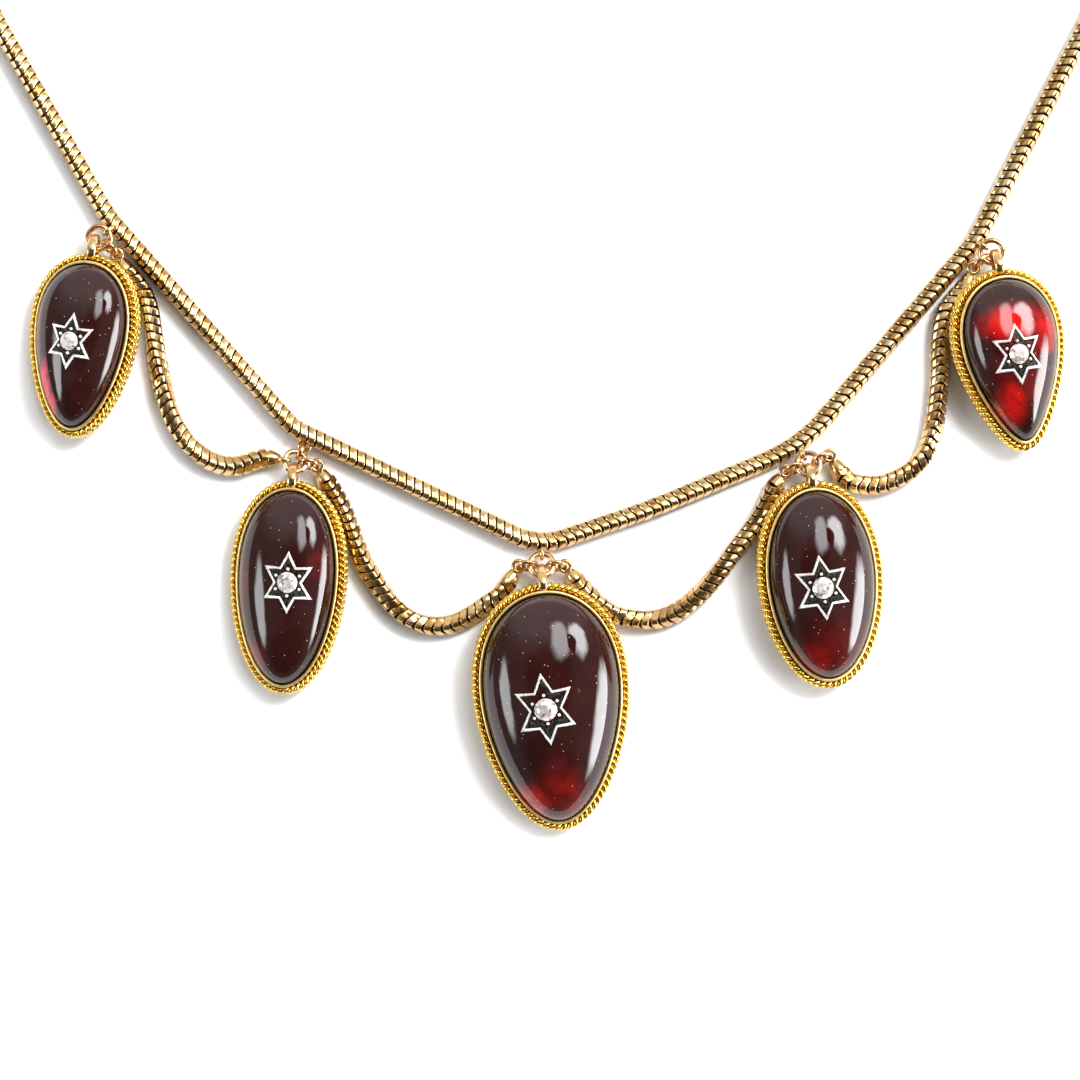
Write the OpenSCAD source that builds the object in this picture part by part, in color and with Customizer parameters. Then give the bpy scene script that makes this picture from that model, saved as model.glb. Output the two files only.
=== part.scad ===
// Necklace: a snake chain worn round the neck, with five garnet drops hung from
// its front on jump rings and four swags of the same chain between them.
// It lies face up on a flat surface. X is to the right, Y is up towards the
// clasp, Z is up from the surface, and the origin is on the surface under the
// middle of the necklace's outline. Each garnet is a tall cabochon in a gold
// setting with a rope border, and a silver star with a diamond is let into it.

/* [Chain] */
// Width of the snake chain across its flat sides
chain_w = 2.1; // [1.9:0.05:2.2]
// Length of chain that one link takes up
link_pitch = 1.09; // [1.0:0.01:1.3]
// Space left open between two links
link_gap = 0.16; // [0.12:0.01:0.25]
// Height of the wave that runs round a link's edge
link_wave = 0.16; // [0.05:0.01:0.2]

/* [Rings] */
// Thickness of the wire of the jump rings
ring_wire = 0.55; // [0.5:0.05:0.6]
// Thickness of the wire of the small links and the eyes
link_wire = 0.38; // [0.3:0.02:0.4]
// Radius of the small links, to the middle of the wire
link_r = 1.1; // [1.05:0.05:1.15]

/* [Settings] */
// Height of the collar's top over the back plate
collar_h = 2.8; // [2.6:0.1:3.2]
// Thickness of the smooth gold collar round a garnet
collar_t = 0.35; // [0.3:0.05:0.4]
// Thickness of each of the two rope rows
rope_w = 0.9; // [0.8:0.05:1.0]
// Thickness of the back plate under a garnet
plate_t = 0.5; // [0.4:0.1:0.8]
// Space between a garnet and its setting
stone_gap = 0.1; // [0.06:0.02:0.16]

/* [Stars] */
// Radius of a star's notches as a share of its radius
star_notch = 0.45; // [0.43:0.01:0.47]
// Width of the bright rim round a star
star_rim = 0.32; // [0.25:0.01:0.4]
// Height of a star's rim over the garnet
star_proud = 0.15; // [0.1:0.05:0.25]
// Depth of the dark floor below a star's rim
star_floor = 0.25; // [0.15:0.05:0.3]

/* [Clasp] */
// Length of the clasp along the chain
clasp_l = 11; // [9:0.5:12]
// Width of the clasp
clasp_w = 4.6; // [3.5:0.1:6]
// Thickness of the clasp
clasp_t = 2.6; // [2.4:0.1:3.2]

/* [Hidden] */

gold = "#c8a04c";
rich_gold = "#cf9a1c";
garnet_red = "#4a0f16";
silver = "#c9c7c2";
diamond_white = "#e9e4da";

// Chain: the middle of a chain lies a little over half its width up.
chain_z = 1.2;
link_sides = 12;
corner_r = 0.68 * chain_w / 2;
tube_sides = 8;
tube_r = chain_w / 2 / cos(180 / tube_sides);

// Ends of a chain: the cap, and the flat eye whose tip stands out from it
cap_l = 1.5;
cap_end_w = 1.5;
eye_z = 1.8;
eye_r = 0.65;
eye_tip = 1.2;
// Plan distance from a jump ring's wire to the wire of the eye that its small
// link holds, and how far the link's middle lies from the eye towards the ring
eye_from_ring = 0.75;
link_share = 0.52;
// The worn chain stops short of the clasp by its cap, two eyes and a link.
tips_apart = 0.8;
chain_end = clasp_l / 2 + 2 * eye_tip + tips_apart + cap_l + 0.05;

// Columns of the two route tables: place, and radius of the bend there.
X = 0;
Y = 1;
BEND = 2;
// The worn chain, from the clasp's left end, down the left side, along the
// five drops and up the right side.
worn_route = [
    [-chain_end, 87.6, 0], [-54.5, 87.6, 55], [-73.0, 20.7, 40],
    [-52.0, -16.2, 15], [-29.7, -41.5, 6], [-0.2, -55.8, 8],
    [13.2, -51.3, 90], [31.4, -43.7, 20], [52.5, -18.9, 15],
    [72.8, 20.7, 40], [54.5, 87.6, 55], [chain_end, 87.6, 0]
];
clasp_y = worn_route[0][Y];

// Points that each swag passes between its two ends
swag_route = [
    [[-49.9, -22.4], [-48.7, -23.8], [-47.6, -25.4], [-46.9, -27.4], [-46.5, -29.8],
     [-46.2, -32.3], [-45.7, -34.9], [-45.1, -37.7], [-44.0, -40.8], [-42.1, -43.7],
     [-39.4, -45.6], [-36.6, -46.1], [-33.6, -45.2]],
    [[-26.0, -47.5], [-24.9, -49.2], [-23.8, -51.2], [-22.9, -53.4], [-22.1, -55.7],
     [-21.1, -57.9], [-19.7, -60.1], [-17.9, -62.6], [-15.8, -64.4], [-13.2, -65.3],
     [-10.6, -65.1], [-8.4, -64.1], [-6.4, -62.7], [-4.6, -61.3]],
    [[5.2, -60.9], [7.0, -62.6], [9.2, -64.0], [12.0, -64.6],
     [14.6, -64.4], [17.0, -63.3], [19.2, -61.5], [21.1, -59.4], [22.9, -57.1],
     [24.5, -55.0], [26.2, -52.6], [27.5, -50.2], [28.6, -48.1]],
    [[36.8, -47.7], [38.5, -48.3], [40.7, -48.4], [42.8, -47.7],
     [44.6, -46.6], [46.2, -44.8], [47.1, -42.5], [47.6, -40.1], [47.9, -37.5],
     [48.1, -34.8], [48.1, -32.2], [48.3, -29.6], [48.9, -27.4], [50.1, -25.8],
     [51.3, -24.3]]
];

// Columns of the junction table: middle of the jump ring, radius to the middle
// of its wire, height of its wire on the drop's side, the angles at which a
// swag's end link leaves it to the left and to the right, and how far each of
// those links leans over towards the worn chain.
RING_X = 0;
RING_Y = 1;
RING_R = 2;
RING_HIGH = 3;
LEFT_A = 4;
RIGHT_A = 5;
LEFT_LEAN = 6;
RIGHT_LEAN = 7;
junctions = [
    [-52.85, -18.8, 1.37, 2.6, 0, -43, 0, -20],
    [-29.4, -45.6, 1.28, 2.45, 170, -10, 0, -25],
    [0.2, -58.0, 1.40, 2.7, 183, -3, 25, -25],
    [32.2, -45.9, 1.38, 2.6, 197, 22, 25, -25],
    [54.15, -20.45, 1.36, 2.6, 222, 0, 15, 0]
];
// The second junction's ring hangs from a link of its own.
hanger = 1;

// Columns of the drop table: middle of the collar's inner edge, turn in the
// plane, half its width and length, how far it widens to the top and how full
// its ends are, the tilts that lay it on the swags, the height of the dome, the
// middle, turn and radius of its star, the diamond's radius, and the bail's top.
DROP_X = 0;
DROP_Y = 1;
TURN = 2;
HALF_W = 3;
HALF_L = 4;
EGG = 5;
FULL = 6;
PITCH = 7;
ROLL = 8;
DOME = 9;
STAR_X = 10;
STAR_Y = 11;
STAR_TURN = 12;
STAR_R = 13;
DIAMOND_R = 14;
BAIL_X = 15;
BAIL_Y = 16;
drops = [
    [-54.45, -31.75, -7.4, 5.4, 9.85, 0.25, 0.04, 2.5, -12, 3.8,
     0.1, 0.4, -2, 3.4, 1.1, -53.3, -18.8],
    [-29.9, -60.6, -3.5, 5.85, 11.65, 0.13, 0.04, 2.8, -9, 4.1,
     1.05, 0.9, 1, 3.7, 1.25, -29.52, -46.15],
    [1.4, -74.8, 4.2, 8.05, 13.75, 0.2, 0.01, 5.4, 1.5, 5.4,
     -0.95, 0.65, 4.5, 4.35, 1.35, 0.2, -58.4],
    [33.4, -60.25, 6.1, 6.4, 11.3, 0.1, 0.01, 3, 8, 4.4,
     -1.0, -0.05, 2, 3.95, 1.3, 32.3, -46.25],
    [56.05, -33.4, 10.4, 5.5, 9.8, 0.38, -0.04, 4, 11, 3.9,
     -0.65, 0.75, -2, 3.7, 1.2, 54.45, -20.6]
];
outline_steps = 32;
// Bail: an oval loop of flattened wire from over the jump ring's wire to the
// collar's top; its length is seen from above.
bail_run = 2.35;
bail_half = 1.2;
bail_drop = 0.7;
bail_thick = 0.55;
bail_width = 1.05;
bail_steps = 14;
bail_sides = 6;

// Worn chain: the eyes soldered to it that hold the jump rings. The hanger's
// eye lies flat.
worn_eye_r = 0.65;
worn_eye_out = 1.6;
hanger_out = 1.3;
hanger_ring_z = 1.65;
hanger_r = 0.88;
hanger_share = 0.68;
// The first swag's right end holds its jump ring by the cap's own upright eye.
direct_reach = 0.5;
direct_eye_r = 0.65;
direct_eye_out = 0.45;

// Angles, unit vectors and distances in the plane
function unit(v) = v / norm(v);
function left_of(v) = [-v.y, v.x];
function toward(a) = [cos(a), sin(a)];
function angle_of(v) = atan2(v.y, v.x);

// A route with straight runs, whose corners are round
function corner(a, b, c, r, n = 6) =
    let (u = unit(b - a), v = unit(c - b), turn = angle_of([u * v, cross(u, v)]))
    let (start = b - u * r * tan(abs(turn) / 2), side = sign(turn) * r)
    let (middle = start + left_of(u) * side)
    [for (k = [0 : n]) middle - side * left_of(toward(angle_of(u) + turn * k / n))];
function flat(p) = [p.x, p.y];
function bent(route) = concat(
    [flat(route[0])],
    [for (i = [1 : len(route) - 2])
        each corner(flat(route[i - 1]), flat(route[i]), flat(route[i + 1]), route[i][BEND])],
    [flat(route[len(route) - 1])]
);

// A smooth route through its points
function blend(a, b, c, d, t) =
    (2 * b + (c - a) * t + (2 * a - 5 * b + 4 * c - d) * t * t
        + (3 * b - a - 3 * c + d) * t * t * t) / 2;
function smooth(p, n = 6) = concat(
    [for (i = [0 : len(p) - 2])
        let (before = i > 0 ? p[i - 1] : 2 * p[0] - p[1])
        let (after = i < len(p) - 2 ? p[i + 2] : 2 * p[i + 1] - p[i])
        for (k = [0 : n - 1]) blend(before, p[i], p[i + 1], after, k / n)],
    [p[len(p) - 1]]
);

// A rail gives the place on a route at a distance along it.
function distances(p) = [
    for (i = 0, s = 0; i < len(p); s = i + 1 < len(p) ? s + norm(p[i + 1] - p[i]) : s, i = i + 1) s
];
function rail(p) = let (s = distances(p)) [
    [for (i = [0 : len(p) - 1]) [s[i], p[i].x]],
    [for (i = [0 : len(p) - 1]) [s[i], p[i].y]],
    s[len(s) - 1]
];
function rail_length(way) = way[2];
function place(way, s) = [lookup(s, way[0]), lookup(s, way[1])];
function heading(way, s) = unit(place(way, s + 0.3) - place(way, s - 0.3));

worn_points = bent(worn_route);
worn_rail = rail(worn_points);

// Junctions: where the worn chain passes a jump ring, and how the ring lies
function ring_middle(k) = [junctions[k][RING_X], junctions[k][RING_Y]];
function nearest(path, p) =
    let (far = [for (q = path) norm(q - p)], best = min(far))
    path[search(best, far)[0]];
function fine(way, step) = [for (s = [0 : step : rail_length(way)]) place(way, s)];
worn_fine = fine(worn_rail, 0.4);
function chain_foot(k) = nearest(worn_fine, ring_middle(k));
function chain_side(k) = unit(chain_foot(k) - ring_middle(k));
function eye_out(k) = k == hanger ? 0 : norm(chain_foot(k) - ring_middle(k)) - junctions[k][RING_R];
function eye_rise(k) = acos(eye_out(k) / worn_eye_out);
function chain_side_z(k) = k == hanger ? hanger_ring_z : chain_z + worn_eye_out * sin(eye_rise(k));
function ring_z(k) = (chain_side_z(k) + junctions[k][RING_HIGH]) / 2;
function ring_tilt(k) = asin((chain_side_z(k) - junctions[k][RING_HIGH]) / 2 / junctions[k][RING_R]);
function ring_point(k, a) =
    let (r = junctions[k][RING_R], along = toward(a) * chain_side(k))
    concat(ring_middle(k) + r * toward(a), ring_z(k) + r * along * sin(ring_tilt(k)));
function is_direct(k, right) = k == hanger && !right;
function leave_angle(k, right) = junctions[k][right ? RIGHT_A : LEFT_A];
function eye_middle(k, right) =
    ring_middle(k) + (junctions[k][RING_R] + eye_from_ring + eye_r) * toward(leave_angle(k, right));
// The middle of a cap's end face: past its eye, towards the swag's next point
function swag_end(i, right_end) =
    let (k = right_end ? i + 1 : i, route = swag_route[i])
    let (next = right_end ? route[len(route) - 1] : route[0], eye = eye_middle(k, !right_end))
    is_direct(k, !right_end)
        ? ring_middle(k) + (junctions[k][RING_R] + direct_reach) * toward(leave_angle(k, false))
        : eye + (eye_tip - eye_r) * unit(next - eye);
function swag_rail(i) = rail(smooth(concat(
    [swag_end(i, false)], swag_route[i], [swag_end(i, true)])));

// Chain links: a rounded square whose edges wave forwards and back
function square_r(a) =
    let (half = chain_w / 2, b = abs(((a + 45) % 90) - 45), in = half - corner_r)
    b < atan2(in, half) ? half / cos(b)
        : let (m = in * (cos(b) + sin(b))) m + sqrt(m * m - 2 * in * in + corner_r * corner_r);
function link_edge(way, s, roll) =
    let (p = place(way, s), t = heading(way, s), n = left_of(t))
    [for (j = [0 : link_sides - 1])
        let (a = 360 * j / link_sides, r = square_r(a), wave = link_wave * cos(2 * a))
        let (q = p + n * r * cos(a + roll) + t * wave)
        [q.x, q.y, chain_z + r * sin(a + roll)]];
function link_points(way, s, roll) =
    let (half = (link_pitch - link_gap) / 2)
    concat(
        link_edge(way, s - half, roll), link_edge(way, s + half, roll),
        [concat(place(way, s - half), chain_z), concat(place(way, s + half), chain_z)]
    );
// Faces run clockwise seen from outside, rings anticlockwise seen from ahead.
function band(n, a, b) = [for (j = [0 : n - 1]) let (k = (j + 1) % n)
    each [[b + k, a + k, a + j], [b + j, b + k, a + j]]];
function fan(n, a, tip) = [for (j = [0 : n - 1]) [a + (j + 1) % n, a + j, tip]];
function fan_back(n, a, tip) = [for (j = [0 : n - 1]) [a + j, a + (j + 1) % n, tip]];
function lid(n, a) = [[for (j = [0 : n - 1]) a + n - 1 - j]];
function floor_of(n, a) = [[for (j = [0 : n - 1]) a + j]];
function moved(faces, by) = [for (f = faces) [for (v = f) v + by]];
link_faces = concat(
    band(link_sides, 0, link_sides),
    fan_back(link_sides, 0, 2 * link_sides), fan(link_sides, link_sides, 2 * link_sides + 1)
);
link_size = 2 * link_sides + 2;

// Roll of each swag's links at its two ends, in degrees
swag_roll = [[40, 10], [10, 45], [45, 10], [10, 40]];
module swag(i) {
    way = swag_rail(i);
    run = rail_length(way) - 2 * cap_l;
    count = floor(run / link_pitch);
    first = cap_l + (run - (count - 1) * link_pitch) / 2;
    roll = swag_roll[i];
    color(gold)
        polyhedron(
            points = [for (k = [0 : count - 1])
                each link_points(way, first + k * link_pitch,
                    roll[0] + (roll[1] - roll[0]) * k / (count - 1))],
            faces = [for (k = [0 : count - 1]) each moved(link_faces, k * link_size)]
        );
}

module ring(r, wire) {
    rotate_extrude($fn = 48)
        translate([r, 0]) circle(d = wire, $fn = 24);
}

// A cap closes a chain's end and carries an eye. Its end face is at the origin,
// and the chain goes off along X.
module cap_shape() {
    turn = 180 / tube_sides;
    back = cap_l - link_gap / 2 - link_wave;
    rotate([0, 90, 0]) rotate([0, 0, turn]) hull() {
        cylinder(h = 0.1, r = cap_end_w / 2 / cos(turn), $fn = tube_sides);
        translate([0, 0, back / 2]) cylinder(h = back / 2, r = tube_r, $fn = tube_sides);
    }
}

// The flat eye of a cap or of the clasp, on a face that looks along X
module end_eye() {
    translate([eye_tip - eye_r, 0, 0]) ring(eye_r, link_wire);
}

// Swag caps, links and jump rings
module swag_cap(i, right_end) {
    k = right_end ? i + 1 : i;
    way = swag_rail(i);
    face = swag_end(i, right_end);
    eye = eye_middle(k, !right_end);
    inward = right_end ? -heading(way, rail_length(way) - 0.5) : heading(way, 0.5);
    direct = is_direct(k, !right_end);
    hold = ring_point(k, leave_angle(k, !right_end));
    color(gold) {
        translate([face.x, face.y, chain_z]) rotate([0, 0, angle_of(inward)]) cap_shape();
        if (direct)
            translate([face.x, face.y, hold.z]) rotate([0, 0, angle_of(inward) + 180])
                translate([direct_eye_out, 0, 0]) rotate([90, 0, 0]) ring(direct_eye_r, link_wire);
        else
            translate([eye.x, eye.y, eye_z]) ring(eye_r, link_wire);
    }
}
module swag_link(k, right) {
    a = leave_angle(k, right);
    hold = ring_point(k, a);
    tip = concat([hold.x, hold.y] + eye_from_ring * toward(a), eye_z);
    middle = tip + link_share * (hold - tip);
    lean = junctions[k][right ? RIGHT_LEAN : LEFT_LEAN];
    color(gold) translate(middle) rotate([90 + lean, 0, a]) ring(link_r, link_wire);
}
module jump_ring(k) {
    c = ring_middle(k);
    color(gold)
        translate([c.x, c.y, ring_z(k)]) rotate([0, 0, angle_of(chain_side(k)) - 90])
            rotate([ring_tilt(k), 0, 0]) ring(junctions[k][RING_R], ring_wire);
}
module hanger_link() {
    tip = concat(chain_foot(hanger) - chain_side(hanger) * (hanger_out + worn_eye_r), chain_z);
    middle = tip + hanger_share * (ring_point(hanger, angle_of(chain_side(hanger))) - tip);
    color(gold) translate(middle) rotate([90, 0, angle_of(chain_side(hanger))])
        ring(hanger_r, link_wire);
}

// Worn chain: a tube of the chain's thickness with an eye for each jump ring
worn_stations = distances(worn_points);
function tube_edge(s) =
    let (p = place(worn_rail, s), n = left_of(heading(worn_rail, s)))
    [for (j = [0 : tube_sides - 1]) let (a = 360 * (j + 0.5) / tube_sides)
        [p.x + n.x * tube_r * cos(a), p.y + n.y * tube_r * cos(a), chain_z + tube_r * sin(a)]];
module worn_tube() {
    count = len(worn_stations);
    polyhedron(
        points = [for (s = worn_stations) each tube_edge(s)],
        faces = concat(
            [for (i = [0 : count - 2]) each band(tube_sides, i * tube_sides, (i + 1) * tube_sides)],
            floor_of(tube_sides, 0), lid(tube_sides, (count - 1) * tube_sides)
        )
    );
}
module worn_eye(k) {
    foot = chain_foot(k);
    out = -chain_side(k);
    lie_flat = k == hanger;
    reach = lie_flat ? hanger_out : worn_eye_out;
    rise = lie_flat ? 0 : eye_rise(k);
    middle = foot + out * reach * cos(rise);
    translate([middle.x, middle.y, chain_z + reach * sin(rise)])
        rotate([0, 0, angle_of(out)]) rotate([lie_flat ? 0 : 90, 0, 0])
            ring(worn_eye_r, link_wire);
}
module main_chain() {
    color(gold) union() {
        worn_tube();
        for (k = [0 : len(junctions) - 1]) worn_eye(k);
    }
}

// Drops: an egg outline, a copy of it moved outwards, and the drop's own frame
function egg(d) = [for (i = [0 : outline_steps - 1])
    let (t = 360 * i / outline_steps, c = cos(t))
    [-d[HALF_W] * sin(t) * (1 + d[EGG] * c + d[FULL] * c * c), d[HALF_L] * c]];
function grown(p, by) = let (n = len(p)) [for (i = [0 : n - 1])
    p[i] - by * left_of(unit(p[(i + 1) % n] - p[(i + n - 1) % n]))];
function at_z(p, z) = [for (q = p) [q.x, q.y, z]];
// Height of a back plate's point once the drop is tilted
function tilted_z(d, q) = q.y * sin(d[PITCH]) * cos(d[ROLL]) - q.x * sin(d[ROLL]);
function lift(d) = -min([for (q = grown(egg(d), back_out)) tilted_z(d, q)]);
module in_drop(d) {
    translate([d[DROP_X], d[DROP_Y], lift(d)]) rotate([0, 0, d[TURN]])
        rotate([d[PITCH], d[ROLL], 0]) children();
}

// Columns of the wall table: distance out from the collar's inner edge, height
upper_rope_z = 2.0;
lower_rope_z = upper_rope_z - rope_w - 0.1;
rope_out = collar_t + rope_w / 2;
back_out = rope_out - 0.1;
wall = [
    [0, plate_t], [0, collar_h - 0.1], [collar_t / 2, collar_h], [collar_t, collar_h - 0.1],
    [rope_out - 0.3, upper_rope_z + 0.32], [rope_out + 0.1, upper_rope_z + 0.44],
    [rope_out + 0.44, upper_rope_z + 0.1], [rope_out + 0.3, upper_rope_z - 0.5],
    [rope_out + 0.45, lower_rope_z], [rope_out + 0.28, lower_rope_z - 0.4], [back_out, 0]
];
module setting_body(d) {
    n = outline_steps;
    base = egg(d);
    polyhedron(
        points = [for (w = wall) each at_z(grown(base, w[0]), w[1])],
        faces = concat(
            [for (i = [0 : len(wall) - 2]) each band(n, (i + 1) * n, i * n)],
            lid(n, 0), floor_of(n, (len(wall) - 1) * n)
        )
    );
}
// The bail's middle line: it starts at its top end, over the jump ring's wire.
function bail_foot_z(d) = lift(d) + tilted_z(d, [0, d[HALF_L] + collar_t]) + collar_h - 0.3;
module bail(k) {
    d = drops[k];
    rise = bail_foot_z(d) - junctions[k][RING_HIGH] + bail_drop;
    long = norm([bail_run, rise]) / 2;
    slope = atan2(rise, bail_run);
    stations = [for (i = [0 : bail_steps - 1]) let (t = 360 * i / bail_steps)
        let (out = unit([bail_half * cos(t), long * sin(t)]))
        [for (j = [0 : bail_sides - 1]) let (a = 360 * (j + 0.5) / bail_sides)
            [bail_width / 2 * cos(a),
             long * cos(t) + bail_thick / 2 * out.x * sin(a),
             bail_half * sin(t) + bail_thick / 2 * out.y * sin(a)]]];
    translate([d[BAIL_X], d[BAIL_Y], junctions[k][RING_HIGH] - bail_drop]) rotate([0, 0, d[TURN]])
        rotate([-slope, 0, 0]) translate([0, -long, 0])
            polyhedron(
                points = [for (ring = stations) each ring],
                faces = [for (i = [0 : bail_steps - 1])
                    each band(bail_sides, i * bail_sides, (i + 1) % bail_steps * bail_sides)]
            );
}
module setting(k) {
    color(rich_gold) union() {
        in_drop(drops[k]) setting_body(drops[k]);
        bail(k);
    }
}

// Garnets: straight sides in the setting, a dome above it
dome_steps = [0, 22, 42, 60, 76];
module dome(d) {
    n = outline_steps;
    edge = grown(egg(d), -stone_gap);
    rings = len(dome_steps);
    polyhedron(
        points = concat(
            at_z(edge, plate_t + stone_gap),
            [for (a = dome_steps) each at_z(edge * cos(a), collar_h - 0.3 + d[DOME] * sin(a))],
            [[0, 0, collar_h - 0.3 + d[DOME]]]
        ),
        faces = concat(
            floor_of(n, 0),
            [for (i = [0 : rings - 1]) each band(n, i * n, (i + 1) * n)],
            fan(n, rings * n, (rings + 1) * n)
        )
    );
}
// Height of the dome over a place on the drop
function dome_z(d, q) =
    let (w = d[HALF_W] * (1 + d[EGG] * q.y / d[HALF_L]))
    let (far = pow(q.x / w, 2) + pow(q.y / d[HALF_L], 2))
    collar_h - 0.3 + d[DOME] * sqrt(1 - min(far, 0.9));

// Stars: the corners of one side, as the angle from the upper arm and the share
// of the star's radius; the other side mirrors them.
star_side = [[28, star_notch + 0.1], [56, 0.93], [91, star_notch], [125, 0.93], [155, star_notch + 0.13]];
star_shape = concat(
    [[0, 1]], star_side, [[180, 1]],
    [for (i = [len(star_side) - 1 : -1 : 0]) [-star_side[i][0], star_side[i][1]]]
);
function star_corners(d, shrink) = [for (i = [0 : len(star_shape) - 1])
    let (a = 90 + star_shape[i][0] + d[STAR_TURN], cut = shrink * (i % 2 == 0 ? 2.4 : 1.1))
    let (r = d[STAR_R] * star_shape[i][1] - cut)
    [d[STAR_X] + r * cos(a), d[STAR_Y] + r * sin(a)]];
module star_prism(d, grow, low, high) {
    translate([0, 0, low]) linear_extrude(high - low) polygon(star_corners(d, -grow));
}
function star_base(d) = min([for (q = star_corners(d, 0)) dome_z(d, q)]) - 0.35;
// Splits each side of the star's outline so that it can follow the dome
function split(p) = let (n = len(p)) [for (i = [0 : n - 1])
    each [p[i], (p[i] + p[(i + 1) % n]) / 2]];
function on_dome(d, p, up) = [for (q = p) [q.x, q.y, dome_z(d, q) + up]];
module star_body(d) {
    outer = split(star_corners(d, 0));
    inner = split(star_corners(d, star_rim));
    n = len(outer);
    middle = [d[STAR_X], d[STAR_Y]];
    polyhedron(
        points = concat(
            at_z(outer, star_base(d)), on_dome(d, outer, star_proud), on_dome(d, inner, star_proud),
            on_dome(d, inner, star_proud - star_floor), on_dome(d, [middle], star_proud - star_floor)
        ),
        faces = concat(
            floor_of(n, 0),
            band(n, 0, n), band(n, n, 2 * n), band(n, 2 * n, 3 * n),
            fan(n, 3 * n, 4 * n)
        )
    );
}
module garnet(k) {
    d = drops[k];
    color(garnet_red) in_drop(d) difference() {
        dome(d);
        star_prism(d, 0.08, star_base(d) - 0.08, collar_h + d[DOME] + 1);
    }
}
grain_r = 0.28;
diamond_gap = 0.08;
seat_sides = 16;
module star(k) {
    d = drops[k];
    seat_r = (d[DIAMOND_R] + diamond_gap) / cos(180 / seat_sides);
    ring_of_grains = d[DIAMOND_R] + 0.1 + 0.36;
    color(silver) in_drop(d) union() {
        difference() {
            star_body(d);
            translate([d[STAR_X], d[STAR_Y], 0]) linear_extrude(20)
                polygon([for (i = [0 : seat_sides - 1]) seat_r * toward(360 * (i + 0.5) / seat_sides)]);
        }
        for (i = [0 : 5]) {
            a = 90 + 60 * i + d[STAR_TURN];
            q = [d[STAR_X] + ring_of_grains * cos(a), d[STAR_Y] + ring_of_grains * sin(a)];
            translate([q.x, q.y, dome_z(d, q) - 0.1]) sphere(r = grain_r, $fn = 6);
        }
    }
}

// Diamonds: eight main facets round a table, and a pavilion below the girdle
table_share = 0.55;
module diamond_cut(r) {
    n = 8;
    function circle_of(share, z, shift) = [for (i = [0 : n - 1])
        let (a = 360 * (i + shift) / n) [r * share * cos(a), r * share * sin(a), z]];
    polyhedron(
        points = concat(
            [[0, 0, -0.62 * r]], circle_of(1, -0.04 * r, 0), circle_of(1, 0.04 * r, 0),
            circle_of(0.82, 0.24 * r, 0.5), circle_of(table_share, 0.4 * r, 0)
        ),
        faces = concat(
            [for (i = [0 : n - 1]) [0, 1 + i, 1 + (i + 1) % n]],
            band(n, 1, 1 + n),
            [for (i = [0 : n - 1]) each let (j = (i + 1) % n) [
                [1 + 2 * n + i, 1 + n + j, 1 + n + i],
                [1 + 2 * n + i, 1 + 2 * n + j, 1 + n + j],
                [1 + 3 * n + i, 1 + 3 * n + j, 1 + 2 * n + i],
                [1 + 3 * n + j, 1 + 2 * n + j, 1 + 2 * n + i]
            ]],
            [[for (i = [0 : n - 1]) 1 + 4 * n - 1 - i]]
        )
    );
}
module diamond(k) {
    d = drops[k];
    seat = dome_z(d, [d[STAR_X], d[STAR_Y]]) + 0.1;
    color(diamond_white) in_drop(d)
        translate([d[STAR_X], d[STAR_Y], seat]) diamond_cut(d[DIAMOND_R]);
}

// Clasp: a plain flat box with an eye at each end, and the worn chain's ends
module clasp() {
    half = clasp_l / 2;
    side = clasp_w / 2;
    cut = 0.9;
    color(gold) translate([0, clasp_y, 0]) {
        linear_extrude(clasp_t) polygon([
            [-half, cut - side], [cut - half, -side], [half - cut, -side], [half, cut - side],
            [half, side - cut], [half - cut, side], [cut - half, side], [-half, side - cut]
        ]);
        translate([half, 0, eye_z]) end_eye();
        translate([-half, 0, eye_z]) rotate([0, 0, 180]) end_eye();
    }
}
module chain_cap(side) {
    x = side * (clasp_l / 2 + 2 * eye_tip + tips_apart);
    color(gold) translate([x, clasp_y, 0]) rotate([0, 0, side > 0 ? 0 : 180]) {
        translate([0, 0, chain_z]) cap_shape();
        translate([0, 0, eye_z]) rotate([0, 0, 180]) end_eye();
    }
}
module clasp_link(side) {
    x = side * (clasp_l / 2 + eye_tip + tips_apart / 2);
    color(gold) translate([x, clasp_y, eye_z + 0.3]) rotate([90, 0, 0]) ring(link_r, link_wire);
}

main_chain();
swag(0);  // swag_1
swag(1);  // swag_2
swag(2);  // swag_3
swag(3);  // swag_4
swag_cap(0, false);  // swag_cap_1a
swag_cap(1, false);  // swag_cap_2a
swag_cap(2, false);  // swag_cap_3a
swag_cap(3, false);  // swag_cap_4a
swag_cap(0, true);  // swag_cap_1b
swag_cap(1, true);  // swag_cap_2b
swag_cap(2, true);  // swag_cap_3b
swag_cap(3, true);  // swag_cap_4b
swag_link(0, true);  // swag_link_1a
swag_link(1, true);  // swag_link_2a
swag_link(2, true);  // swag_link_3a
swag_link(3, true);  // swag_link_4a
swag_link(2, false);  // swag_link_2b
swag_link(3, false);  // swag_link_3b
swag_link(4, false);  // swag_link_4b
jump_ring(0);  // jump_ring_1
jump_ring(1);  // jump_ring_2
jump_ring(2);  // jump_ring_3
jump_ring(3);  // jump_ring_4
jump_ring(4);  // jump_ring_5
hanger_link();
setting(0);  // setting_1
setting(1);  // setting_2
setting(2);  // setting_3
setting(3);  // setting_4
setting(4);  // setting_5
garnet(0);  // garnet_1
garnet(1);  // garnet_2
garnet(2);  // garnet_3
garnet(3);  // garnet_4
garnet(4);  // garnet_5
star(0);  // star_1
star(1);  // star_2
star(2);  // star_3
star(3);  // star_4
star(4);  // star_5
diamond(0);  // diamond_1
diamond(1);  // diamond_2
diamond(2);  // diamond_3
diamond(3);  // diamond_4
diamond(4);  // diamond_5
chain_cap(-1);  // chain_cap_left
chain_cap(1);  // chain_cap_right
clasp_link(-1);  // clasp_link_left
clasp_link(1);  // clasp_link_right
clasp();
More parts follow.
